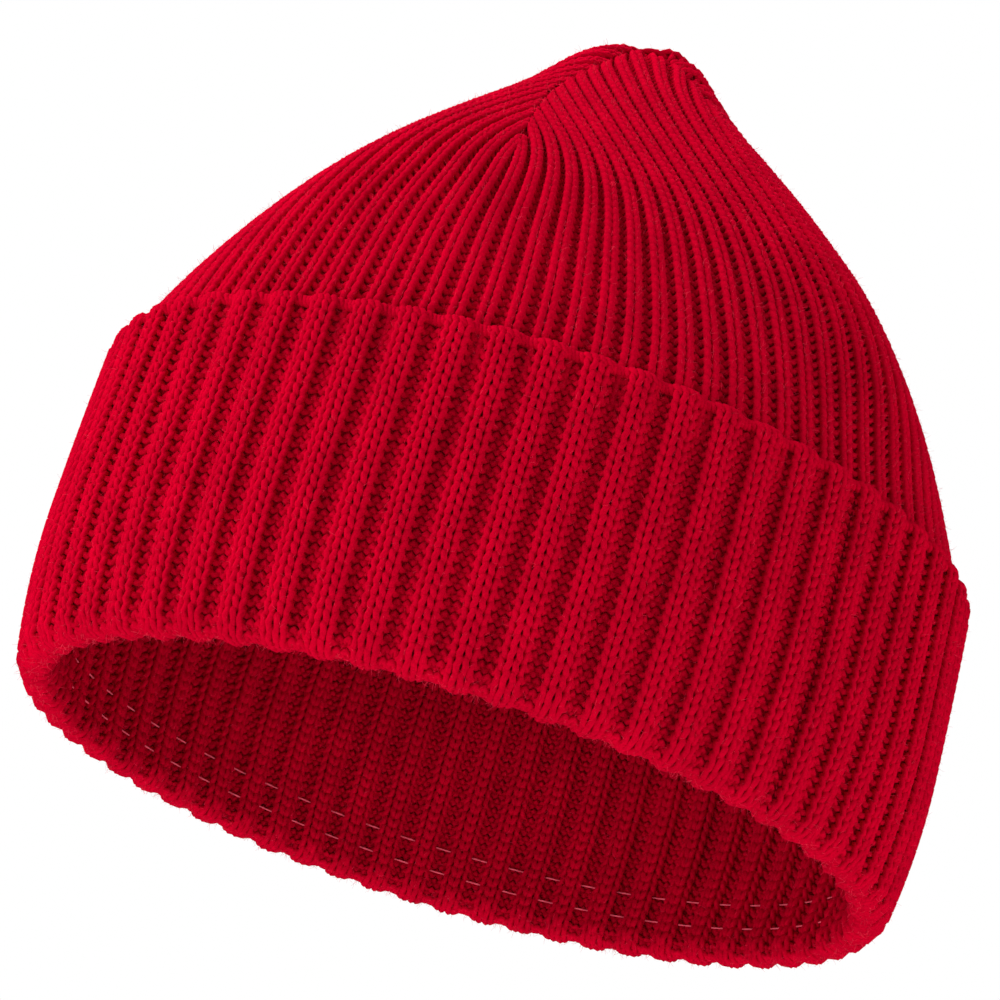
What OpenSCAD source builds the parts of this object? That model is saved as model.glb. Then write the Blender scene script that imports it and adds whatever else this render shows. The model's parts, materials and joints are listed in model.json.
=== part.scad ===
// Rib-knit beanie with a deep turned-up cuff and a crown closed by a cross of four seams.
// Millimetres, +Z up. The hat stands on its fold edge at z = 0, front towards -Y, opening down.

/* [Overall] */
// full width across the cuff, side to side
hat_w = 219; // [195:1:240]
// full depth through the cuff, front to back
hat_d = 184; // [165:1:205]
// height of the closed crown above the fold edge
hat_h = 212; // [190:1:230]
// sideways lean of the crown's point
crown_lean = 4; // [0:0.5:10]

/* [Cuff] */
// height of the turned-up cuff
cuff_h = 80; // [60:1:100]
// how far the cuff draws in at its lower edge
cuff_draw = 3; // [0:0.5:8]
// how far the cuff draws in at its top
cuff_draw_top = 1; // [0:0.5:3]
// number of wide ribs around the cuff and the inner band
cuff_ribs = 60; // [40:2:72]
// depth of the cuff ribs
cuff_rib_depth = 1.6; // [0.5:0.1:3]
// height of the rounded fold at the lower edge
fold_h = 6; // [4:0.5:9]
// height of the cast-off bead along the cuff's top
top_edge_h = 3.4; // [2:0.2:5]

/* [Knit] */
// thickness of one layer of the knit
knit_t = 4.6; // [3:0.1:6]
// gap between two layers of knit
layer_gap = 0.1; // [0.05:0.05:0.4]
// thickness of the elastic thread
elastic_d = 0.9; // [0.5:0.1:1.5]
// height of the lower elastic thread
elastic_low_z = 10; // [8:0.5:20]
// height of the upper elastic thread
elastic_high_z = 16.5; // [12:0.5:30]

/* [Crown] */
// height at which the four crown gores begin
gore_z = 146; // [120:1:165]
// number of narrow ribs around the crown
crown_ribs = 100; // [64:4:128]
// depth of the crown ribs
crown_rib_depth = 1.2; // [0.4:0.1:2.5]
// how far the crown's seams are turned from the diagonals, fading out at the point
crown_turn = 12; // [0:1:20]
// how far the gores swell between their seams near the top
lobe = 0.1; // [0:0.01:0.2]
// depth over width of the crown where the gores begin
gore_ratio = 0.98; // [0.8:0.01:1]
// width of each crown seam
seam_w = 1.2; // [0.6:0.1:2.5]
// radius of the gathered stitch at the crown's point
knot_r = 9; // [6:0.5:14]

/* [Hidden] */
half_w = hat_w / 2;
half_d = hat_d / 2;
depth_ratio = half_d / half_w;
two_layers = 2 * knit_t + layer_gap;
band_w = half_w - cuff_draw - knit_t - layer_gap;
band_d = (half_w - cuff_draw) * depth_ratio - knit_t - layer_gap;
// Each dome is [half width at the cuff's top, depth over width there, height at which it closes].
outside = [band_w, band_d / band_w, hat_h + 6];
cavity = [band_w - knit_t, (band_d - knit_t) / (band_w - knit_t), hat_h - 1.5];
gore_top = hat_h - 4;
cavity_top = hat_h - 8;
steps_per_rib = 4;
ring_steps = 112;

red = [0.78, 0.02, 0.10];
deep_red = [0.60, 0.01, 0.07];
thread_pink = [0.90, 0.35, 0.42];

// Half width of the cuff's outer face at height z: widest in the middle, standing off a little at the top.
function cuff_half(z) =
    half_w - (z < cuff_h / 2 ? cuff_draw : cuff_draw_top) * pow((z - cuff_h / 2) / (cuff_h / 2), 2);

// Half width of a dome at height z.
function dome_half(z, dome) =
    dome[0] * pow(max(0, 1 - pow((z - cuff_h) / (dome[2] - cuff_h), 1.4)), 1.1);

// Depth over width of a dome at height z: the crown grows rounder up to the gores.
function dome_ratio(z, dome) =
    dome[1] + (gore_ratio - dome[1]) * min(1, max(0, z - cuff_h) / (gore_z - cuff_h));

// How far the crown has leaned at height z.
function lean(z) = -crown_lean * pow(max(0, z - cuff_h) / (hat_h - cuff_h), 1.5);

// How far round the crown's knit is turned at height z.
function turned(z) = crown_turn * min(1, (hat_h - z) / (hat_h - gore_z));

// Narrowing of the crown at its four seams, where the gores bulge between them.
function swell(z, a) =
    1 - lobe * pow(max(0, z - gore_z + 20) / (hat_h - gore_z + 20), 1.6) * (1 - cos(4 * a));

// A point at angle a on the oval whose half width is w, cut back by inset.
function oval(a, w, inset, z) = [(w - inset) * cos(a), (w * depth_ratio - inset) * sin(a), z];

// A point on a dome at height z, cut back by inset; a is its angle before the knit is turned.
function dome_pt(a, z, dome, inset) =
    let (w = dome_half(z, dome) * swell(z, a) - inset, b = a + turned(z))
    [w * cos(b) + lean(z), w * dome_ratio(z, dome) * sin(b), z];

// Depth below the rib tops at angle a for n ribs of depth d.
function rib_cut(a, n, d) = d * (0.5 - 0.5 * cos(n * a));

// Faces of a grid of rows and columns whose columns wrap round, closed into a ring solid.
function ring_faces(rows, cols) =
    [for (i = [0 : rows - 1], j = [0 : cols - 1])
        let (k = (j + 1) % cols, n = (i + 1) % rows)
        each [[i * cols + j, i * cols + k, n * cols + k], [i * cols + j, n * cols + k, n * cols + j]]];

// A closed ring: profile(i, a) gives the i-th point of the cross-section at angle a.
module ring(profile, count, cols) {
    pts = [for (i = [0 : count - 1], j = [0 : cols - 1]) profile(i, 360 * j / cols)];
    polyhedron(points = pts, faces = ring_faces(count, cols), convexity = 8);
}

// A closed piece of shell between two edges: loop(i, s) gives the i-th point around its
// cross-section at fraction s of the way along it.
module strip(loop, count, cols) {
    pts = [for (j = [0 : cols], i = [0 : count - 1]) loop(i, j / cols)];
    sides = [for (j = [0 : cols - 1], i = [0 : count - 1])
        let (n = (i + 1) % count)
        each [[j * count + i, (j + 1) * count + n, j * count + n],
              [j * count + i, (j + 1) * count + i, (j + 1) * count + n]]];
    first = [for (i = [0 : count / 2 - 2])
        each [[i, i + 1, count - 1 - i], [i + 1, count - 2 - i, count - 1 - i]]];
    shift = cols * count;
    last = [for (f = first) [f[2] + shift, f[1] + shift, f[0] + shift]];
    polyhedron(points = pts, faces = concat(sides, first, last), convexity = 8);
}

// A plain oval disc outline for the flat-bottomed fold.
module oval_plate(inset) {
    polygon([for (j = [0 : ring_steps - 1])
        let (p = oval(360 * j / ring_steps, half_w - cuff_draw, inset, 0)) [p[0], p[1]]]);
}

module oval_hoop(inset_out, inset_in, z0, z1) {
    translate([0, 0, z0])
        linear_extrude(height = z1 - z0)
            difference() {
                oval_plate(inset_out);
                oval_plate(inset_in);
            }
}

// Outer layer of the cuff with its wide ribs.
module cuff_turn_up() {
    levels = 5;
    z_at = function (i) fold_h + (cuff_h - fold_h) * i / (levels - 1);
    profile = function (i, a)
        i < levels
        ? oval(a, cuff_half(z_at(i)), rib_cut(a, cuff_ribs, cuff_rib_depth), z_at(i))
        : let (z = z_at(2 * levels - 1 - i)) oval(a, cuff_half(z), knit_t, z);
    color(red) ring(profile, 2 * levels, cuff_ribs * steps_per_rib);
}

// Cast-off bead along the top of the cuff.
module cuff_top_edge() {
    insets = [0.6, -0.2, 0.4, 2.2, 3.8, 4.4];
    heights = [0, 0.35, 0.8, 1, 0.8, 0];
    profile = function (i, a)
        oval(a, half_w - cuff_draw_top, insets[i], cuff_h + top_edge_h * heights[i]);
    color(red) ring(profile, 6, ring_steps);
}

// Rounded fold that joins the cuff to the inner band; its underside is flat.
module fold_edge() {
    color(red) union() {
        oval_hoop(2.9, two_layers - 2.9, 0, fold_h * 0.25);
        oval_hoop(1.2, two_layers - 1.2, fold_h * 0.25, fold_h * 0.6);
        oval_hoop(0.2, two_layers - 0.2, fold_h * 0.6, fold_h);
    }
}

// Inner layer behind the cuff, from the fold up to the crown.
module inner_band() {
    levels = 5;
    z_at = function (i) fold_h + (cuff_h - fold_h) * i / (levels - 1);
    profile = function (i, a)
        i < levels
        ? oval(a, cuff_half(z_at(i)), knit_t + layer_gap, z_at(i))
        : let (z = z_at(2 * levels - 1 - i))
          oval(a, cuff_half(z), two_layers - rib_cut(a, cuff_ribs, cuff_rib_depth), z);
    color(deep_red) ring(profile, 2 * levels, cuff_ribs * 2);
}

// One elastic thread lying against the inner band's ribs at height z.
module elastic_thread(z) {
    middle = two_layers + layer_gap + elastic_d / 2;
    profile = function (i, a)
        oval(a, cuff_half(z), middle - elastic_d / 2 * cos(90 * i), z + elastic_d / 2 * sin(90 * i));
    color(thread_pink) ring(profile, 4, ring_steps);
}

module elastic_thread_lower() {
    elastic_thread(elastic_low_z);
}

module elastic_thread_upper() {
    elastic_thread(elastic_high_z);
}

// Seamless ribbed tube of the crown, between the cuff and the gores.
module crown_wall() {
    levels = 6;
    z_at = function (i) cuff_h + (gore_z - cuff_h) * i / (levels - 1);
    profile = function (i, a)
        i < levels
        ? dome_pt(a, z_at(i), outside, rib_cut(a, crown_ribs, crown_rib_depth))
        : let (z = z_at(2 * levels - 1 - i)) dome_pt(a, z, cavity, 0);
    color(red) ring(profile, 2 * levels, crown_ribs * 2);
}

// One quarter of the crown, centred on angle mid, its edges cut back for the seams.
module crown_gore(mid) {
    rows = 6;
    ribs = crown_ribs / 4;
    out_z = function (i) gore_z + (gore_top - gore_z) * i / (rows - 1);
    in_z = function (i) gore_z + (cavity_top - gore_z) * i / (rows - 1);
    reach = function (w) 45 - (seam_w / 2 + 0.1) / max(w, 4) / depth_ratio * 180 / PI;
    fade = function (s) min(1, 8 * min(s, 1 - s));
    loop = function (i, s)
        i < rows
        ? let (z = out_z(i), a = mid + (2 * s - 1) * reach(dome_half(z, outside)))
          dome_pt(a, z, outside,
                  fade(s) * min(1, (rows - 1 - i) / 2) * rib_cut(90 * s, crown_ribs, crown_rib_depth))
        : let (z = in_z(2 * rows - 1 - i), a = mid + (2 * s - 1) * reach(dome_half(z, cavity)))
          dome_pt(a, z, cavity, 0);
    color(red) strip(loop, 2 * rows, ribs * 2);
}

module crown_gore_front() {
    crown_gore(-90);
}

module crown_gore_right() {
    crown_gore(0);
}

module crown_gore_back() {
    crown_gore(90);
}

module crown_gore_left() {
    crown_gore(180);
}

// Linking thread that closes the seam at angle mid, set a little below the gores' faces.
module crown_seam(mid) {
    rows = 8;
    low = gore_z + 1;
    out_z = function (i) low + (gore_top - low) * i / (rows - 1);
    in_z = function (i) low + (cavity_top - low) * i / (rows - 1);
    half = function (w) (seam_w / 2 - 0.1) / max(w, 4) * 180 / PI;
    loop = function (i, s)
        i < rows
        ? let (z = out_z(i), a = mid + (2 * s - 1) * half(dome_half(z, outside)))
          dome_pt(a, z, outside, 1.0)
        : let (z = in_z(2 * rows - 1 - i), a = mid + (2 * s - 1) * half(dome_half(z, cavity)))
          dome_pt(a, z, cavity, -0.6);
    color(deep_red) strip(loop, 2 * rows, 1);
}

module crown_seam_front_right() {
    crown_seam(-45);
}

module crown_seam_back_right() {
    crown_seam(45);
}

module crown_seam_back_left() {
    crown_seam(135);
}

module crown_seam_front_left() {
    crown_seam(225);
}

// Gathered stitch that draws the four gores together at the point.
module crown_closing_stitch() {
    color(deep_red)
        translate([lean(hat_h), 0, 0])
            rotate_extrude($fn = 48)
                polygon([[0, cavity_top - 2], [4.2, cavity_top - 2], [4.2, gore_top + 0.2],
                         [knot_r, gore_top + 0.2], [knot_r - 1, gore_top + 2],
                         [knot_r / 2, hat_h - 0.6], [0, hat_h]]);
}

cuff_turn_up();
cuff_top_edge();
fold_edge();
inner_band();
elastic_thread_lower();
elastic_thread_upper();
crown_wall();
crown_gore_front();
crown_gore_right();
crown_gore_back();
crown_gore_left();
crown_seam_front_right();
crown_seam_back_right();
crown_seam_back_left();
crown_seam_front_left();
crown_closing_stitch();
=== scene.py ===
"""Rib-knit beanie with a turned-up cuff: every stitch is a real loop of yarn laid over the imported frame."""

import json
import math

import bpy
import numpy as np
from mathutils import Matrix, Vector

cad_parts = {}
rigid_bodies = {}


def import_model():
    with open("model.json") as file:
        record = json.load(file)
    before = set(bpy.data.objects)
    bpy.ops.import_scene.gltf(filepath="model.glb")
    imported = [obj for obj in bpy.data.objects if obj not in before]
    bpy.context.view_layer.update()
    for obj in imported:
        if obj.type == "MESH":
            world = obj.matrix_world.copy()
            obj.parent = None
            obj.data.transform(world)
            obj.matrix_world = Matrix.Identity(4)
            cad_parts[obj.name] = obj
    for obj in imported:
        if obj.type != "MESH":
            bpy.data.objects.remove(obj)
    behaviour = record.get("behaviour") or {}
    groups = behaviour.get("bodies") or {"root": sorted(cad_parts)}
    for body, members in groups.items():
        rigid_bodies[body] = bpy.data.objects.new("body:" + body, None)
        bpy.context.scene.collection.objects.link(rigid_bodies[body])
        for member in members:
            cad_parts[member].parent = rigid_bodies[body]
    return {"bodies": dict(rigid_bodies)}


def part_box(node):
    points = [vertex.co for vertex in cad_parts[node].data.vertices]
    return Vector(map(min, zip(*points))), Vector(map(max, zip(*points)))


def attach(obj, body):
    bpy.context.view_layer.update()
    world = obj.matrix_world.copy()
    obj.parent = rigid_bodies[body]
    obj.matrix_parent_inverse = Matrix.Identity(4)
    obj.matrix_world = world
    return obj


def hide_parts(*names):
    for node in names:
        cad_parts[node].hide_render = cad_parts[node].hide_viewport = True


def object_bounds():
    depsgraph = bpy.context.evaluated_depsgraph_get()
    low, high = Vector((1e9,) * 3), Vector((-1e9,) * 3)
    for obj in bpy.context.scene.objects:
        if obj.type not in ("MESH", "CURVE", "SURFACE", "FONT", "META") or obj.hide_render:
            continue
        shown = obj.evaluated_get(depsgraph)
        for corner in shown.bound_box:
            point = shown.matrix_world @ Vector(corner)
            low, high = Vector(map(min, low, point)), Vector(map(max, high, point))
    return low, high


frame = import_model()
cad_low, cad_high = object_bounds()
rng = np.random.default_rng(7)
BODY = next(iter(frame["bodies"]))
MM = 0.001
TAU = 2 * math.pi

# ---------------------------------------------------------------- sizes, all read from the frame
CUFF_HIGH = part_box("cuff_turn_up")[1]
HALF_W = CUFF_HIGH[0]
DEPTH_RATIO = CUFF_HIGH[1] / CUFF_HIGH[0]
CUFF_TOP = CUFF_HIGH[2]
BAND_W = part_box("inner_band")[1][0]
GORE_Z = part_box("crown_gore_front")[0][2]
HAT_TOP = cad_high[2]
HEM_Z = [sum(c[2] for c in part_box(n)) / 2 for n in ("elastic_thread_lower", "elastic_thread_upper")]

# ---------------------------------------------------------------- how the hat is knitted
CUFF_REPEATS = 60  # each is two knit wales and two purl wales
CROWN_RIBS = 100  # each is one knit wale and one purl wale
KNIT_T = 4.6 * MM  # thickness of one layer of knit
COURSE = 2.6 * MM  # from one row of stitches to the next
CUFF_DRAW_LOW = 4.6 * MM  # how far the cuff pulls in at its fold
CUFF_DRAW_TOP = 0.6 * MM  # how far the cuff pulls in at its top edge
CUFF_RISE = 0.03  # share by which the cuff stands higher at its two sides
FOLD_R = KNIT_T / 2
BAND_SLACK = 2.2 * MM  # how far the band stands in from the cuff at its top
YARN_R = 0.80 * MM
CROWN_YARN_R = 0.94 * MM
ELASTIC_R = 0.2 * MM
SEAM_YARN_R = 0.6 * MM
FIBRE_R = 0.035 * MM  # a loose hair of the wool
RIB_RELIEF = 1.45 * MM  # how far the cuff's ribs stand off the middle of the knit
CROWN_RELIEF = 1.1 * MM
LOOP_DEPTH = 0.75 * MM  # how far a loop leans in and out of the face
LOOP_REACH = 0.80  # how far a loop reaches along the knit, as a share of a course
LOOP_LEAN = 0.20  # how far a loop's neck pinches, as a share of a wale
KNIT_SHARE_SHIFT = 0.09  # share of a repeat that the knit wales take from the purl ones
UNEVEN = 0.035  # how uneven the stitches are, as a share of a course
BACKING_DROP = 0.3 * MM  # how far the sheet of knit lies under the middle of its loops
PLY_TWIST = 3.4  # millimetres of yarn for one turn of its plies
STEPS = 10  # points of yarn for each wale
SIDES = 6  # sides of the yarn's cross-section

# ---------------------------------------------------------------- how this one hat has settled
CROWN_LEAN = 3.3 * MM
SIDE_DENT = 5.0 * MM  # a shallow hollow in the crown's right side
DENT_Z = 132 * MM
CROWN_TURN = math.radians(15.5)  # how far the seams turn from the diagonals, fading out at the point
TURN_FADE = 30 * MM  # how far below the gores the turn starts to fade
RIGHT_SWING = math.radians(9)  # how far the top of the front right seam has swung back to the front
SWING_Z = 195 * MM
SETTLE_SPREAD = 26 * MM  # how far up and down the dent and the swing spread
# how high each gore stands beside the point, and how far up the gore, from 0 to 1
LOBES = {0: (5.5 * MM, 0.88), 1: (5.0 * MM, 0.86), 2: (5.0 * MM, 0.72), 3: (-1.0 * MM, 0.86)}


# ---------------------------------------------------------------- shape of the hat
def cuff_half(z):
    """Half width of the cuff's outer face at height z."""
    draw = np.where(z < CUFF_TOP / 2, CUFF_DRAW_LOW, CUFF_DRAW_TOP)
    return HALF_W - draw * ((z - CUFF_TOP / 2) / (CUFF_TOP / 2)) ** 2


def even_angles():
    """Angles round the oval, and how far round its edge each one is, from 0 to 1."""
    angle = np.linspace(-math.pi, math.pi, 2049)
    speed = np.hypot(np.sin(angle), DEPTH_RATIO * np.cos(angle))
    far = np.concatenate([[0], np.cumsum((speed[1:] + speed[:-1]) / 2)])
    return angle, far / far[-1]


ANGLE, FAR = even_angles()


def angle_at(turn):
    """Angle at a fraction of the way round the oval's edge, from the left side by the front."""
    whole = np.floor(turn)
    return np.interp(turn - whole, FAR, ANGLE) + TAU * whole


def fold_path():
    """The cuff's cross-section from the band's top, down round the fold and up the outside.

    Returns its length so far, how far it is in from the outer face, its height, and its tilt."""
    band = np.linspace(CUFF_TOP, FOLD_R * 2, 60)
    turn = np.linspace(math.pi, TAU, 25)
    cuff = np.linspace(FOLD_R * 2, CUFF_TOP, 60)
    slack = BAND_SLACK * np.clip(band / CUFF_TOP - 0.5, 0, 1) * 2
    bend = FOLD_R * 2 - FOLD_R * np.cos(turn)[1:-1]
    inset = np.concatenate([FOLD_R * 3 + slack, bend, np.full(60, FOLD_R)])
    z = np.concatenate([band, FOLD_R * 2 + FOLD_R * np.sin(turn)[1:-1], cuff])
    tilt = np.concatenate([np.full(60, math.pi), turn[1:-1], np.full(60, TAU)])
    length = np.concatenate([[0], np.cumsum(np.hypot(np.diff(inset), np.diff(z)))])
    return length, inset, z, tilt


FOLD_S, FOLD_INSET, FOLD_HEIGHT, FOLD_TILT = fold_path()
BAND_END = FOLD_S[59]
CUFF_START = FOLD_S[59 + 24]


def folded(turn, s, lift):
    """Point on the doubled cuff: turn goes round it, s runs along the knit, lift is off its face."""
    inset = np.interp(s, FOLD_S, FOLD_INSET)
    z = np.interp(s, FOLD_S, FOLD_HEIGHT) + np.maximum(s - FOLD_S[-1], 0) - np.minimum(s, 0)
    tilt = np.interp(s, FOLD_S, FOLD_TILT)
    a = angle_at(turn)
    w = cuff_half(z)
    nx, ny = DEPTH_RATIO * np.cos(a), np.sin(a)
    size = np.hypot(nx, ny)
    out = lift * np.cos(tilt) - inset
    x = w * np.cos(a) + out * nx / size
    y = w * DEPTH_RATIO * np.sin(a) + out * ny / size
    height = (z + lift * np.sin(tilt)) * (1 + CUFF_RISE * np.cos(a) ** 4)
    return np.stack([x, y, height], -1)


def crown_path():
    """The crown's profile from under the cuff's top to the point: length, half width and height."""
    rise = 1 - (1 - np.linspace(0, 1, 400)) ** 1.3
    z = CUFF_TOP + (HAT_TOP + 4 * MM - CUFF_TOP) * rise
    w = (BAND_W - FOLD_R + 1.5 * MM) * (1 - rise ** 1.4) ** 1.14
    soft = 2.5 * MM
    z = -soft * np.logaddexp(-z / soft, -(HAT_TOP - FOLD_R - 2 * MM) / soft)
    z = np.concatenate([[CUFF_TOP - 8 * MM], z])
    w = np.concatenate([[w[0]], w])
    length = np.concatenate([[0], np.cumsum(np.hypot(np.diff(w), np.diff(z)))])
    return length, w, z


CROWN_S, CROWN_W, CROWN_Z = crown_path()
CROWN_LENGTH = CROWN_S[-1]
CROWN_UP = np.sqrt(np.clip(1 - np.gradient(CROWN_Z, CROWN_S) ** 2, 0, 1))
GORE_S = float(np.interp(GORE_Z, CROWN_Z, CROWN_S))
NARROW_S = float(np.interp(GORE_Z - 20 * MM, CROWN_Z, CROWN_S))


def ease(x):
    """A smooth step from 0 to 1."""
    x = np.clip(x, 0, 1)
    return x * x * (3 - 2 * x)


def crown(gore, across, s, lift):
    """Point on one quarter of the crown: across runs from -1 to 1 between its seams."""
    w = np.interp(s, CROWN_S, CROWN_W)
    z = np.interp(s, CROWN_S, CROWN_Z)
    part = ease((s - 12 * MM) / (GORE_S - 12 * MM))
    high = np.clip((s - GORE_S) / (CROWN_LENGTH - GORE_S), 0, 1)
    ratio = DEPTH_RATIO + (0.98 - DEPTH_RATIO) * part
    a = across * math.pi / 4 * (1 - part) + np.arctan(across) * part + gore * math.pi / 2
    turned = CROWN_TURN * (1 - ease((z - GORE_Z + TURN_FADE) / (HAT_TOP - GORE_Z + TURN_FADE)))
    swing = RIGHT_SWING * np.exp(-((z - SWING_Z) / SETTLE_SPREAD) ** 2)
    a = a + turned - swing * np.maximum(np.cos(a - math.radians(315)), 0) ** 2
    square = 2 + 1.4 * part
    rounded = (np.abs(np.cos(a)) ** square + np.abs(np.sin(a)) ** square) ** (-1 / square)
    w = w * rounded * (1 - 0.03 * part)
    groove = 3.0 * MM * high ** 2.5 * (1 - high ** 6) * np.abs(across) ** 4
    up = np.interp(s, CROWN_S, CROWN_UP)
    side = np.sqrt(np.clip(1 - up ** 2, 0, 1))
    w = w + (lift - groove) * side
    w = w - SIDE_DENT * np.exp(-((z - DENT_Z) / SETTLE_SPREAD) ** 2) * np.maximum(np.cos(a), 0) ** 3
    stand, place = LOBES[gore]
    lobe = stand * np.exp(-((high - place) / 0.19) ** 2) * (1 - across ** 2)
    lean = -CROWN_LEAN * ease((z - CUFF_TOP) / (0.4 * (HAT_TOP - CUFF_TOP)))
    height = z + (lift - groove) * up + lobe
    return np.stack([w * np.cos(a) + lean, w * ratio * np.sin(a), height], -1)


# ---------------------------------------------------------------- mesh making
def mesh_object(name, points, quads, material, uv=None):
    """A smooth mesh piece that rides on the hat."""
    mesh = bpy.data.meshes.new(name)
    mesh.vertices.add(len(points))
    mesh.vertices.foreach_set("co", np.asarray(points, np.float32).ravel())
    mesh.loops.add(len(quads) * 4)
    mesh.loops.foreach_set("vertex_index", np.asarray(quads, np.int32).ravel())
    mesh.polygons.add(len(quads))
    mesh.polygons.foreach_set("loop_start", np.arange(0, len(quads) * 4, 4, dtype=np.int32))
    if uv is not None:
        mesh.uv_layers.new(name="yarn").data.foreach_set("uv", np.asarray(uv, np.float32).ravel())
    mesh.update(calc_edges=True)
    mesh.materials.append(material)
    piece = bpy.data.objects.new(name, mesh)
    bpy.context.scene.collection.objects.link(piece)
    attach(piece, BODY)
    return piece


def unit(v):
    return v / np.maximum(np.linalg.norm(v, axis=-1, keepdims=True), 1e-12)


def tube(line, face, radius, start, sides=SIDES):
    """Points, quads and UVs of a tube along line, whose flat side looks along face."""
    n = len(line)
    along = unit(np.gradient(line, axis=0))
    across = unit(np.cross(along, face))
    out = np.cross(across, along)
    ring = np.arange(sides) * TAU / sides
    r = np.broadcast_to(np.asarray(radius), (n,))[:, None, None]
    points = line[:, None] + r * (
        np.cos(ring)[None, :, None] * out[:, None] + np.sin(ring)[None, :, None] * across[:, None]
    )
    i = np.arange(n - 1)[:, None]
    j = np.arange(sides)[None]
    k = (j + 1) % sides
    quads = np.stack([i * sides + j, (i + 1) * sides + j, (i + 1) * sides + k, i * sides + k], -1)
    length = np.concatenate([[0], np.cumsum(np.linalg.norm(np.diff(line, axis=0), axis=1))]) / MM
    u0 = np.broadcast_to(length[:-1, None], (n - 1, sides))
    u1 = np.broadcast_to(length[1:, None], (n - 1, sides))
    v0 = np.broadcast_to(j / sides, (n - 1, sides))
    v1 = v0 + 1 / sides
    uv = np.stack([u0, v0, u1, v0, u1, v1, u0, v1], -1)
    return points.reshape(-1, 3), quads.reshape(-1, 4) + start, uv.reshape(-1, 2)


def yarn_piece(name, lines, radius, material, nodes):
    """One piece made of many lengths of yarn; lines holds (points, face normals) pairs."""
    points, quads, uvs, start = [], [], [], 0
    for line, face in lines:
        p, q, t = tube(line, face, radius, start)
        points.append(p)
        quads.append(q)
        uvs.append(t)
        start += len(p)
    points, quads, uvs = np.concatenate(points), np.concatenate(quads), np.concatenate(uvs)
    piece = mesh_object(name, points, quads, material, uvs)
    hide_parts(*nodes)
    return piece


def soft_step(x, sharp):
    """Squares off a wave that runs from -1 to 1, more so the sharper it is."""
    return np.tanh(sharp * x) / np.tanh(sharp)


# ---------------------------------------------------------------- the knit
def rib_wave(wale, period, knit_wales):
    """1 in the middle of a knit rib, -1 in the middle of a purl valley."""
    return np.cos(TAU * (wale - knit_wales / 2) / period)


def loop_line(wales, width):
    """Offsets of a course of loops: along the wales, along the knit, and in or out of its face."""
    t = TAU * wales
    return wales + LOOP_LEAN * np.sin(2 * t) * width, -np.cos(t), -np.cos(2 * t)


def jitter(count):
    """Small random shifts, one for each stitch."""
    return UNEVEN * rng.standard_normal(count)


def cuff_spread(wale):
    """Turns a wale number into a fraction round the cuff, with knit wales wider than purl ones."""
    repeat = np.floor(wale / 4)
    within = wale - repeat * 4
    eased = within / 4 + KNIT_SHARE_SHIFT * np.interp(within, [0, 2, 4], [0, 1, 0])
    return (repeat + eased) / CUFF_REPEATS


def fold_ease(s):
    """Share of the ribs' relief that is left at s: they flatten where the knit turns under."""
    tilt = np.interp(s, FOLD_S, FOLD_TILT)
    return 1 - 0.88 * np.maximum(-np.sin(tilt), 0)


def rib_edge(s):
    """How square the ribs are: rounder where the band is not stretched."""
    return np.interp(s, [BAND_END, CUFF_START], [1.2, 2.2])


def cuff_course(s, first, last):
    """One course of yarn of the doubled cuff between two wales."""
    wales = np.arange(first * STEPS, last * STEPS + 1) / STEPS
    across, along, depth = loop_line(wales, 1.0)
    wave = rib_wave(across, 4, 2)
    relief = RIB_RELIEF * fold_ease(s)
    lift = relief * soft_step(wave, rib_edge(s))
    lift = lift + LOOP_DEPTH * (0.4 + 0.6 * fold_ease(s)) * soft_step(rib_wave(wales, 4, 2), 3) * depth
    wobble = np.interp(wales, np.arange(first, last + 1), jitter(last - first + 1))
    turn = cuff_spread(across + 0.6 * wobble)
    line = folded(turn, s + COURSE * (LOOP_REACH * along + wobble), lift)
    face = unit(folded(turn, s, np.full(len(turn), MM)) - folded(turn, s, np.zeros(len(turn))))
    return line, face


def courses(start, end):
    """Places of the courses between start and end along the knit."""
    count = int(round((end - start) / COURSE))
    return start + (np.arange(count) + 0.5) * (end - start) / count


def knit_strip(name, start, end, sectors, material, nodes):
    """A stretch of the doubled cuff, split into sectors round the hat."""
    wales = CUFF_REPEATS * 4 // sectors
    pieces = []
    for k in range(sectors):
        lines = [cuff_course(s, k * wales, (k + 1) * wales) for s in courses(start, end)]
        pieces.append(yarn_piece(f"{name}_{k + 1}", lines, YARN_R, material, nodes))
    return pieces


def wales_beside(s):
    """Wales between a gore's middle and its seam at s: past NARROW_S they end in the seam."""
    base = CROWN_RIBS / 4
    past = np.clip((s - NARROW_S) / (CROWN_LENGTH - NARROW_S), 0, 1)
    start = 0.22
    lost = np.where(past < start, past ** 2 / (2 * start), past - start / 2) / (1 - start / 2)
    return np.maximum(base * (1 - lost), 0.5)


def crown_course(gore, s):
    """One course of yarn across one gore, or across one quarter of the crown's wall."""
    reach = float(wales_beside(s))
    count = max(int(round(2 * reach * STEPS)), 4)
    wales = np.linspace(-reach, reach, count + 1)
    centred = wales + 0.5  # a knit wale lies on the gore's middle line
    across, along, depth = loop_line(centred, 0.8)
    rib = CROWN_RELIEF * soft_step(rib_wave(across, 2, 1), 1.2)
    lift = rib + 0.8 * LOOP_DEPTH * soft_step(rib_wave(centred, 2, 1), 2) * depth
    sideways = (across - centred + wales + 0.07 * np.sin(TAU * (centred - 0.5) / 2)) / reach
    wobble = np.interp(wales, np.arange(-30, 31), jitter(61))
    along_s = s + COURSE * (LOOP_REACH * along + wobble)
    near = np.linspace(s - COURSE, s + COURSE, 5)
    fit = np.array([float(wales_beside(v)) for v in near])
    sideways = np.clip(sideways * reach / np.interp(along_s, near, fit), -1.02, 1.02)
    line = crown(gore, sideways, np.minimum(along_s, CROWN_LENGTH - 0.3 * MM), lift)
    still = np.zeros(len(wales))
    face = unit(crown(gore, sideways, s, still + MM) - crown(gore, sideways, s, still))
    return line, face


GORES = {"right": 0, "back": 1, "left": 2, "front": 3}


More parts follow.
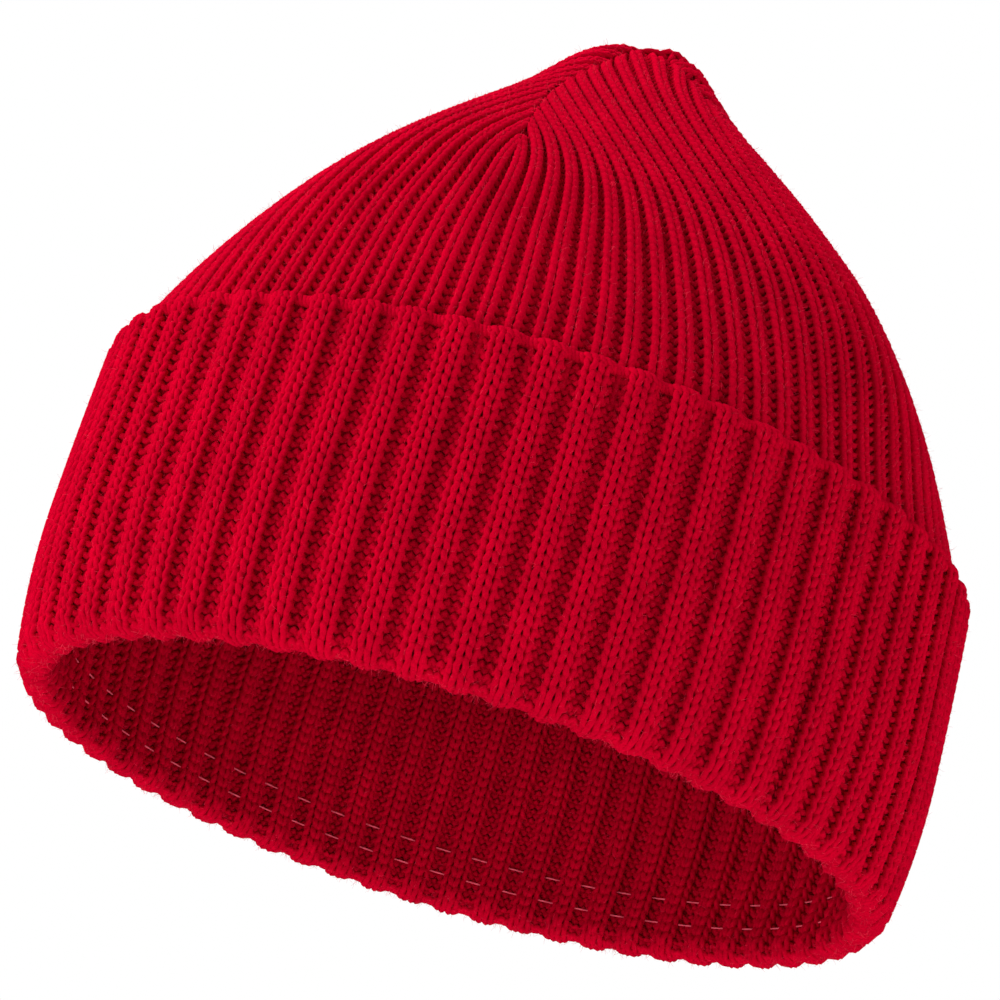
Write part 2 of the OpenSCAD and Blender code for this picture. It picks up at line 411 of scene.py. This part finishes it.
def grid_quads(rows, cols):
    i = np.arange(rows - 1)[:, None]
    j = np.arange(cols - 1)[None]
    corner = i * cols + j
    return np.stack([corner, corner + 1, corner + cols + 1, corner + cols], -1).reshape(-1, 4)


def path_length(points):
    return float(np.linalg.norm(np.diff(points, axis=0), axis=1).sum())


def cuff_backing(material):
    """Sheet of knit behind the cuff's loops, and its (width, length) when pressed flat."""
    wale = np.linspace(0, CUFF_REPEATS * 4, CUFF_REPEATS * 8 + 1)
    s = np.linspace(0, FOLD_S[-1] - 1 * MM, 90)[:, None]
    lift = RIB_RELIEF * fold_ease(s) * soft_step(rib_wave(wale, 4, 2)[None], rib_edge(s)) - BACKING_DROP
    points = folded(cuff_spread(wale)[None], s, lift)
    sheet = mesh_object("cuff_ground", points.reshape(-1, 3), grid_quads(len(s), len(wale)), material)
    return sheet, (path_length(points[70]), path_length(points[:, 0]))


def crown_backing(gore_name, gore, material):
    """Sheet of knit behind one quarter of the crown, and its flat width, length and area."""
    s = np.concatenate([np.linspace(0, GORE_S, 30), np.linspace(GORE_S, CROWN_LENGTH, 30)[1:]])
    across = np.linspace(-1, 1, 161)
    rows = []
    for v in s:
        wave = rib_wave(across * wales_beside(v) + 0.5, 2, 1)
        lift = CROWN_RELIEF * soft_step(wave, 1.2) - BACKING_DROP
        rows.append(crown(gore, across, np.full(len(across), v), lift))
    points = np.concatenate(rows)
    sheet = mesh_object(f"crown_ground_{gore_name}", points, grid_quads(len(s), len(across)), material)
    widths = np.array([path_length(row) for row in rows])
    area = float(((widths[1:] + widths[:-1]) / 2 * np.diff(s)).sum())
    return sheet, (float(widths.max()), CROWN_LENGTH), area


# ---------------------------------------------------------------- materials
def noise(nodes, scale, detail, rough):
    texture = nodes.new("ShaderNodeTexNoise")
    texture.inputs["Scale"].default_value = scale
    texture.inputs["Detail"].default_value = detail
    texture.inputs["Roughness"].default_value = rough
    return texture


def maths(tree, operation, first, second=0.0):
    """A maths node on a socket and a socket or number; returns its output."""
    node = tree.nodes.new("ShaderNodeMath")
    node.operation = operation
    tree.links.new(first, node.inputs[0])
    if isinstance(second, (int, float)):
        node.inputs[1].default_value = second
    else:
        tree.links.new(second, node.inputs[1])
    return node.outputs[0]


def ply_twist(tree):
    """Height of the yarn's two twisted plies, from how far along and how far round the yarn it is."""
    place = tree.nodes.new("ShaderNodeUVMap")
    place.uv_map = "yarn"
    split = tree.nodes.new("ShaderNodeSeparateXYZ")
    tree.links.new(place.outputs["UV"], split.inputs[0])
    along = maths(tree, "MULTIPLY", split.outputs["X"], TAU / PLY_TWIST)
    around = maths(tree, "MULTIPLY", split.outputs["Y"], 2 * TAU)
    return maths(tree, "SINE", maths(tree, "ADD", along, around))


def yarn_material(name, colour, sheen=0.05, value=1.0, rough=0.85):
    """Wool yarn: broad and fine changes of shade, a fuzzy sheen, twisted plies and loose surface."""
    m = bpy.data.materials.new(name)
    m.use_nodes = True
    tree = m.node_tree
    shader = tree.nodes["Principled BSDF"]
    shader.inputs["Roughness"].default_value = rough
    shader.inputs["Specular IOR Level"].default_value = 0.0
    shader.inputs["Sheen Weight"].default_value = sheen
    shader.inputs["Sheen Roughness"].default_value = 0.45
    shader.inputs["Sheen Tint"].default_value = (1.0, 0.04, 0.12, 1)
    place = tree.nodes.new("ShaderNodeTexCoord")
    broad = noise(tree.nodes, 90, 3, 0.5)
    fine = noise(tree.nodes, 1400, 4, 0.7)
    tree.links.new(place.outputs["Object"], broad.inputs["Vector"])
    tree.links.new(place.outputs["Object"], fine.inputs["Vector"])
    mix = tree.nodes.new("ShaderNodeMix")
    mix.data_type = "FLOAT"
    mix.inputs[0].default_value = 0.6
    tree.links.new(broad.outputs["Fac"], mix.inputs[2])
    tree.links.new(fine.outputs["Fac"], mix.inputs[3])
    ramp = tree.nodes.new("ShaderNodeValToRGB")
    dark, light = ramp.color_ramp.elements
    dark.position = 0.36
    dark.color = (*[c * value * 0.80 for c in colour], 1)
    light.position = 0.64
    light.color = (*[min(c * value * 1.12, 1) for c in colour], 1)
    tree.links.new(mix.outputs[0], ramp.inputs[0])
    tree.links.new(ramp.outputs[0], shader.inputs["Base Color"])
    bump = tree.nodes.new("ShaderNodeBump")
    bump.inputs["Strength"].default_value = 0.5
    bump.inputs["Distance"].default_value = 0.0004
    plies = maths(tree, "MULTIPLY", ply_twist(tree), 0.22)
    height = maths(tree, "ADD", fine.outputs["Fac"], plies)
    tree.links.new(height, bump.inputs["Height"])
    tree.links.new(bump.outputs["Normal"], shader.inputs["Normal"])
    return m


RED = (0.48, 0.0002, 0.016)
red_yarn = yarn_material("red_yarn", RED)
# The inside band's yarn is the same red made 5% darker: painted shade inside the hat.
inside_yarn_painted_shade = yarn_material("red_yarn_inside_painted_shade", RED, sheen=0.04, value=0.95)
# The sheets behind the loops are the red yarn at 60% brightness: painted shade in the gaps between the loops.
shaded_ground_yarn = yarn_material("red_ground_painted_shade", RED, sheen=0.03, value=0.6, rough=0.95)
seam_yarn = yarn_material("linking_yarn", RED, value=0.9)
elastic = yarn_material("elastic_thread", (0.80, 0.10, 0.15), sheen=0.3, rough=0.5)

# ---------------------------------------------------------------- build the knit
inner_band = knit_strip("inner_band_knit", 0, BAND_END, 6, inside_yarn_painted_shade, ["inner_band"])
fold_edge = knit_strip("fold_edge_knit", BAND_END, CUFF_START, 2, red_yarn, ["fold_edge"])
turn_up = knit_strip("cuff_knit", CUFF_START, FOLD_S[-1], 6, red_yarn, ["cuff_turn_up"])
cuff_sheet, cuff_flat = cuff_backing(shaded_ground_yarn)

for name, gore in GORES.items():
    wall = [crown_course(gore, s) for s in courses(0, GORE_S)]
    wall_knit = yarn_piece(f"crown_wall_knit_{name}", wall, CROWN_YARN_R, red_yarn, ["crown_wall"])
    top = [crown_course(gore, s) for s in courses(GORE_S, CROWN_LENGTH - 1.5 * MM)]
    node = f"crown_gore_{name}"
    gore_knit = yarn_piece(f"{node}_knit", top, CROWN_YARN_R, red_yarn, [node])
    sheet, flat, area = crown_backing(name, gore, shaded_ground_yarn)


def elastic_hoop(node, height):
    """One elastic thread round the inner band, which shows only in the valleys between the ribs."""
    turn = np.linspace(0, 1, 721)
    s = np.full(721, BAND_END - (height - FOLD_R * 2))
    lift = np.full(721, 0.8 * MM)
    line = folded(turn, s, lift)
    face = unit(folded(turn, s, lift + MM) - line)
    yarn_piece(f"{node}_line", [(line, face)], ELASTIC_R, elastic, [node])


for height, label in zip(HEM_Z, ("lower", "upper")):
    elastic_hoop(f"elastic_thread_{label}", height)


def cast_off_strand(phase):
    """One of the two strands that twist along the cuff's top edge."""
    turn = np.linspace(0, 1, CUFF_REPEATS * 40 + 1)
    twist = TAU * CUFF_REPEATS * 4 * turn + phase
    rib = soft_step(rib_wave(turn * CUFF_REPEATS * 4, 4, 2), 1.5)
    lift = 0.2 * MM + 0.9 * MM * rib + 0.65 * MM * np.sin(twist)
    s = FOLD_S[-1] + 0.4 * MM + 0.75 * MM * np.cos(twist)
    line = folded(cuff_spread(turn * CUFF_REPEATS * 4), s, lift)
    face = unit(folded(cuff_spread(turn * CUFF_REPEATS * 4), s, lift + MM) - line)
    return line, face


strands = [cast_off_strand(0), cast_off_strand(math.pi)]
edge = yarn_piece("cuff_top_edge_chain", strands, YARN_R, red_yarn, ["cuff_top_edge"])


def seam_line(gore):
    """The zigzag of linking yarn along one arm of the cross."""
    s = np.linspace(GORE_S, CROWN_LENGTH - 0.5 * MM, 160)
    zig = 0.9 * MM * np.sin(np.arange(160) * 1.3)
    across = 1 - zig / np.maximum(np.interp(s, CROWN_S, CROWN_W), 4 * MM)
    line = crown(gore, across, s, np.full(160, 1.1 * MM))
    face = unit(crown(gore, across, s, np.full(160, 2.1 * MM)) - line)
    return line, face


SEAMS = {"back_right": 0, "back_left": 1, "front_left": 2, "front_right": 3}
for name, gore in SEAMS.items():
    node = f"crown_seam_{name}"
    seam = yarn_piece(f"{node}_yarn", [seam_line(gore)], SEAM_YARN_R, seam_yarn, [node])


def closing_coil():
    """A small coil of yarn in the dimple at the point."""
    turns = np.linspace(0, 3.2 * TAU, 120)
    radius = 1.2 * MM + 2.4 * MM * turns / turns[-1]
    point = crown(0, np.zeros(1), np.array([CROWN_LENGTH]), np.zeros(1))[0]
    height = np.full(120, point[2] - 1.5 * MM)
    line = np.stack([point[0] + radius * np.cos(turns), point[1] + radius * np.sin(turns), height], -1)
    face = np.tile([0, 0, 1.0], (120, 1))
    coil = yarn_piece("crown_closing_coil", [(line, face)], 0.8 * MM, seam_yarn, ["crown_closing_stitch"])


closing_coil()


# ---------------------------------------------------------------- loose fibres of the wool
def fibres(name, roots, out, material):
    """Short bent hairs that stand off the yarn at roots, roughly along out."""
    count = len(roots)
    reach = rng.uniform(0.7, 2.1, (count, 1)) * MM
    lean = unit(out + 1.1 * rng.standard_normal((count, 3)))
    bend = 0.45 * rng.standard_normal((count, 3))
    middle = roots + 0.5 * reach * lean
    tip = middle + 0.6 * reach * unit(lean + bend)
    spine = np.stack([roots, middle, tip], 1)
    side = unit(np.cross(lean, rng.standard_normal((count, 3))))
    other = unit(np.cross(lean, side))
    ring = np.arange(3) * TAU / 3
    spoke = np.cos(ring)[None, :, None] * side[:, None] + np.sin(ring)[None, :, None] * other[:, None]
    thin = np.array([1.0, 0.8, 0.35])[None, :, None, None] * FIBRE_R
    points = spine[:, :, None] + thin * spoke[:, None]
    first = (np.arange(count) * 9)[:, None, None]
    level = (np.arange(2) * 3)[None, :, None]
    j = np.arange(3)[None, None]
    k = (j + 1) % 3
    corner = first + level
    quads = np.stack([corner + j, corner + 3 + j, corner + 3 + k, corner + k], -1)
    piece = mesh_object(name, points.reshape(-1, 3), quads.reshape(-1, 4), material)
    return piece


def cuff_fibres(name, count, low, high, material):
    """Fibres over the doubled cuff between two places along the knit."""
    wale = rng.uniform(0, CUFF_REPEATS * 4, count)
    s = rng.uniform(low, high, count)
    lift = RIB_RELIEF * fold_ease(s) * soft_step(rib_wave(wale, 4, 2), rib_edge(s)) + YARN_R
    turn = cuff_spread(wale)
    roots = folded(turn, s, lift)
    return fibres(name, roots, unit(folded(turn, s, lift + MM) - roots), material)


def crown_fibres(name, gore, count, material):
    """Fibres over one quarter of the crown."""
    across = rng.uniform(-1, 1, count)
    s = CROWN_LENGTH * (1 - np.sqrt(rng.uniform(0, 1, count)))
    wale = across * wales_beside(s) + 0.5
    lift = CROWN_RELIEF * soft_step(rib_wave(wale, 2, 1), 1.2) + YARN_R
    roots = crown(gore, across, s, lift)
    return fibres(name, roots, unit(crown(gore, across, s, lift + MM) - roots), material)


# The loose fibres are a lighter, pinker red than the yarn: painted highlight for the light that catches the
# fuzz.
fuzz_painted_highlight = yarn_material("wool_fuzz_painted_highlight", (0.80, 0.04, 0.08), sheen=0.4)
cuff_fibres("cuff_fuzz", 9000, CUFF_START, FOLD_S[-1], fuzz_painted_highlight)
cuff_fibres("fold_fuzz", 2500, BAND_END, CUFF_START, fuzz_painted_highlight)
cuff_fibres("inner_band_fuzz", 5000, 20 * MM, BAND_END, fuzz_painted_highlight)
for name, gore in GORES.items():
    crown_fibres(f"crown_fuzz_{name}", gore, 9000, fuzz_painted_highlight)

# ---------------------------------------------------------------- stage, light and camera
FLOOR_Z = -0.30
FLOOR_HALF = 6
FLOOR_COLOUR = (0.86, 0.86, 0.86)
LIGHT_ROUND = 0.34  # strength of the even light from all round
LIGHT_SEEN = 1.0  # how bright that surround looks to the camera


def add_floor():
    """A plain pale floor far enough below the hat that the camera looks up past it."""
    pale = bpy.data.materials.new("floor_pale")
    pale.use_nodes = True
    shader = pale.node_tree.nodes["Principled BSDF"]
    shader.inputs["Base Color"].default_value = (*FLOOR_COLOUR, 1)
    shader.inputs["Roughness"].default_value = 0.9
    corners = [(x * FLOOR_HALF, y * FLOOR_HALF, FLOOR_Z) for x, y in ((-1, -1), (1, -1), (1, 1), (-1, 1))]
    plane = bpy.data.meshes.new("floor")
    plane.from_pydata(corners, [], [(0, 1, 2, 3)])
    plane.materials.append(pale)
    floor = bpy.data.objects.new("floor", plane)
    bpy.context.scene.collection.objects.link(floor)


def add_surround():
    """Even white light from all round, which looks brighter to the camera than it lights."""
    world = bpy.data.worlds.new("studio")
    bpy.context.scene.world = world
    world.use_nodes = True
    tree = world.node_tree
    lighting = tree.nodes["Background"]
    seen = tree.nodes.new("ShaderNodeBackground")
    for background, strength in ((lighting, LIGHT_ROUND), (seen, LIGHT_SEEN)):
        background.inputs["Color"].default_value = (1, 1, 1, 1)
        background.inputs["Strength"].default_value = strength
    ray = tree.nodes.new("ShaderNodeLightPath")
    choose = tree.nodes.new("ShaderNodeMixShader")
    tree.links.new(ray.outputs["Is Camera Ray"], choose.inputs[0])
    tree.links.new(lighting.outputs[0], choose.inputs[1])
    tree.links.new(seen.outputs[0], choose.inputs[2])
    tree.links.new(choose.outputs[0], tree.nodes["World Output"].inputs["Surface"])


add_floor()
add_surround()

CENTRE = Vector((0, 0, HAT_TOP * 0.45))


def direction(azimuth, elevation):
    """Unit vector from the hat towards a place seen at these angles in degrees."""
    a, e = math.radians(azimuth), math.radians(elevation)
    return Vector((math.sin(a) * math.cos(e), -math.cos(a) * math.cos(e), math.sin(e)))


def area_light(name, azimuth, elevation, distance, size, power):
    """A soft square light that looks at the hat's middle."""
    data = bpy.data.lights.new(name, "AREA")
    data.size = size
    data.energy = power
    lamp = bpy.data.objects.new(name, data)
    out = direction(azimuth, elevation)
    lamp.location = CENTRE + out * distance
    lamp.rotation_euler = out.to_track_quat("Z", "Y").to_euler()
    bpy.context.scene.collection.objects.link(lamp)


area_light("left_key", -72, 12, 1.2, 0.5, 5.5)
area_light("right_fill", 46, 6, 1.3, 0.5, 4.5)
area_light("low_left", -62, -26, 0.62, 0.2, 0.85)
area_light("low_right", 42, -28, 0.62, 0.2, 0.7)
area_light("top_back", 160, 62, 1.1, 0.6, 11)
area_light("top_left", -95, 52, 1.2, 0.5, 13)

bpy.context.scene.view_settings.view_transform = "Standard"
bpy.context.scene.view_settings.look = "None"

VIEW_AZIMUTH, VIEW_ELEVATION, VIEW_ROLL = -13.2, -22.4, 16.3
VIEW_DISTANCE = 0.763
AIM = Vector((-0.0092, 0, 0.0794))


def add_camera():
    """The camera looks up at the hat from in front, rolled to one side."""
    lens = bpy.data.cameras.new("camera")
    lens.sensor_width = 36
    lens.lens = 114.0
    lens.clip_start = 0.05
    camera = bpy.data.objects.new("camera", lens)
    bpy.context.scene.collection.objects.link(camera)
    back = direction(VIEW_AZIMUTH, VIEW_ELEVATION)
    roll = Matrix.Rotation(math.radians(VIEW_ROLL), 3, "Z")
    facing = back.to_track_quat("Z", "Y").to_matrix() @ roll
    camera.matrix_world = Matrix.Translation(AIM + back * VIEW_DISTANCE) @ facing.to_4x4()
    bpy.context.scene.camera = camera


add_camera()
